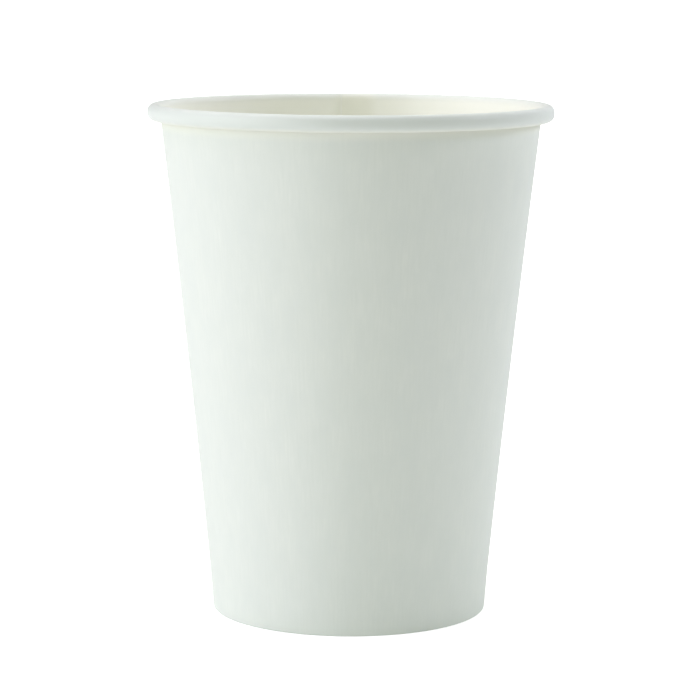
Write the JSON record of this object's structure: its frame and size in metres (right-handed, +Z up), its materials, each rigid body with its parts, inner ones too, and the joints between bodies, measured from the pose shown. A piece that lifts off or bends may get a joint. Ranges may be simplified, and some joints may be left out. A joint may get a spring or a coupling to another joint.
{
  "type": "paper coffee cup",
  "caption": "Plain white tapered paper cup with a rolled rim, a lapped side seam at the back and a recessed bottom disc held in the folded foot.",
  "frame": {"origin": "on the cup's axis, on the plane that the foot stands on", "axes": "+Z up along the cup's axis from foot to rim; the side seam is at the back, towards +Y; +X to the right as seen from the front"},
  "size_m": [0.09, 0.09, 0.1132],
  "materials": {
    "wall_board": "matte",
    "disc_board": "matte"
  },
  "bodies": {
    "root": {"side_wall": "wall_board", "bottom_disc": "disc_board"}
  },
  "joints": []
}
